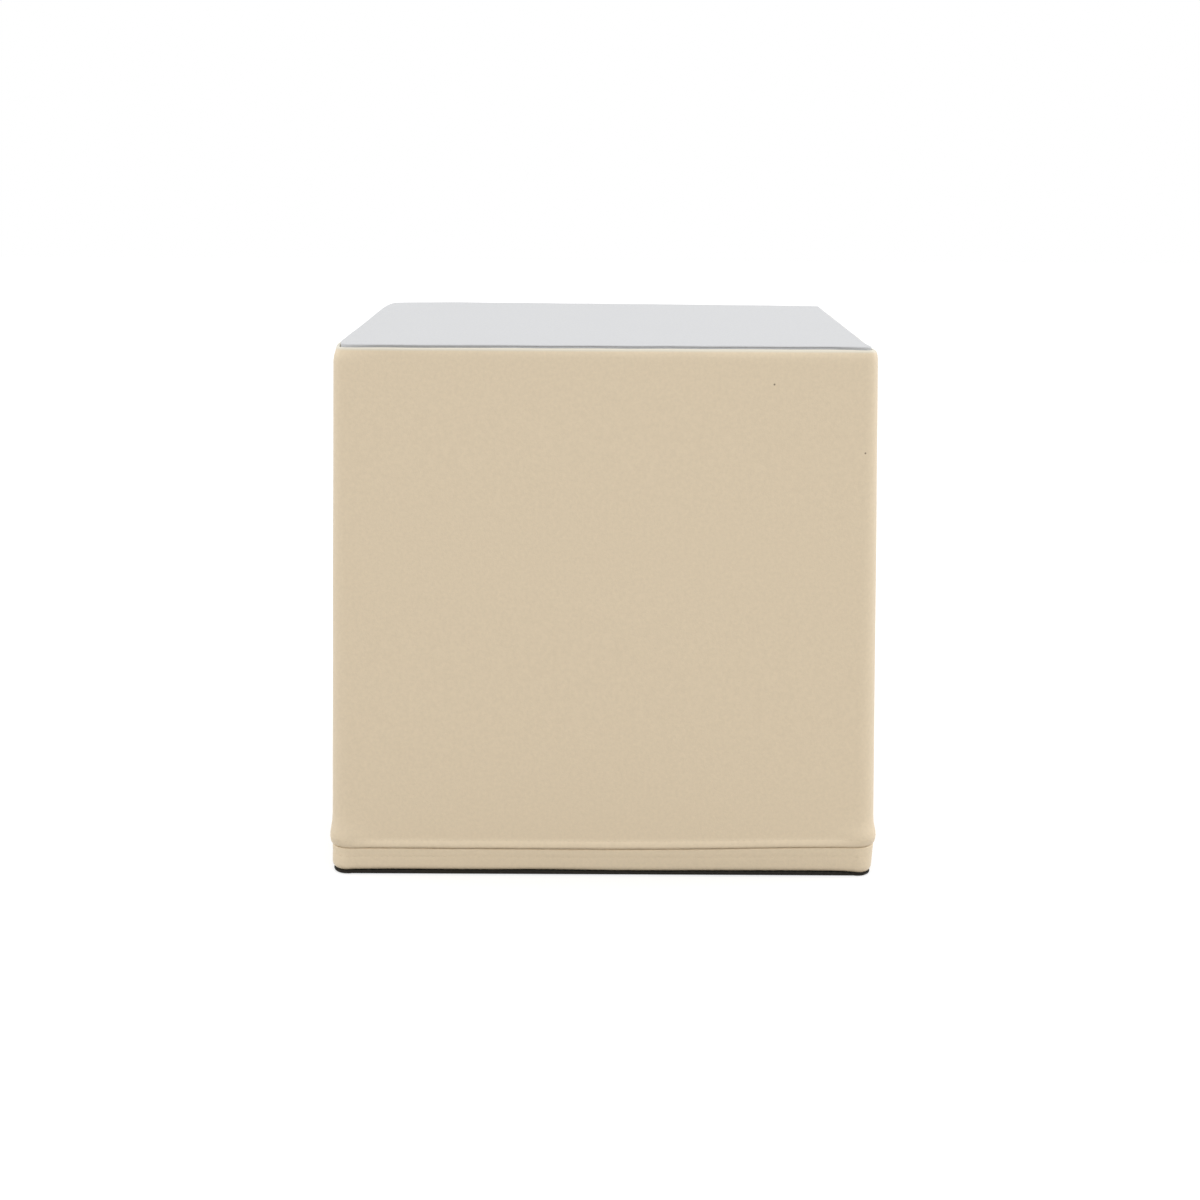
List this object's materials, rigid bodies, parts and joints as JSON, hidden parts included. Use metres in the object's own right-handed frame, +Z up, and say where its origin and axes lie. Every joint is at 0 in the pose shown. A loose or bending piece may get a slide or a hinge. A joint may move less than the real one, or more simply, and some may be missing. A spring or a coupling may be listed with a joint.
{
  "type": "foam play cube",
  "caption": "Solid foam block in a sewn leatherette cover with a grey top, beige sides, a concealed zip near the foot and a dark anti-slip base, for sitting, climbing and stacking.",
  "frame": {"origin": "middle of the base, on the floor", "axes": "+Z up, the front in the picture faces -Y, the wrap's closing seam is at +Y"},
  "size_m": [0.302, 0.302, 0.3],
  "materials": {
    "foam": "open-cell upholstery foam, cut faces",
    "grey_leatherette": "pale grey leatherette, fine grain, matt",
    "beige_leatherette": "beige leatherette, fine grain, matt",
    "anti_slip_cloth": "near-black anti-slip cloth with fine dots",
    "zip_tape": "woven polyester tape",
    "zip_coil": "nylon coil"
  },
  "bodies": {
    "root": {"foam_block": "foam", "top_panel": "grey_leatherette", "side_wrap": "beige_leatherette", "lower_band": "beige_leatherette", "base_panel": "anti_slip_cloth", "zip_upper_tape": "zip_tape", "zip_lower_tape": "zip_tape", "zip_coil": "zip_coil"}
  },
  "joints": []
}
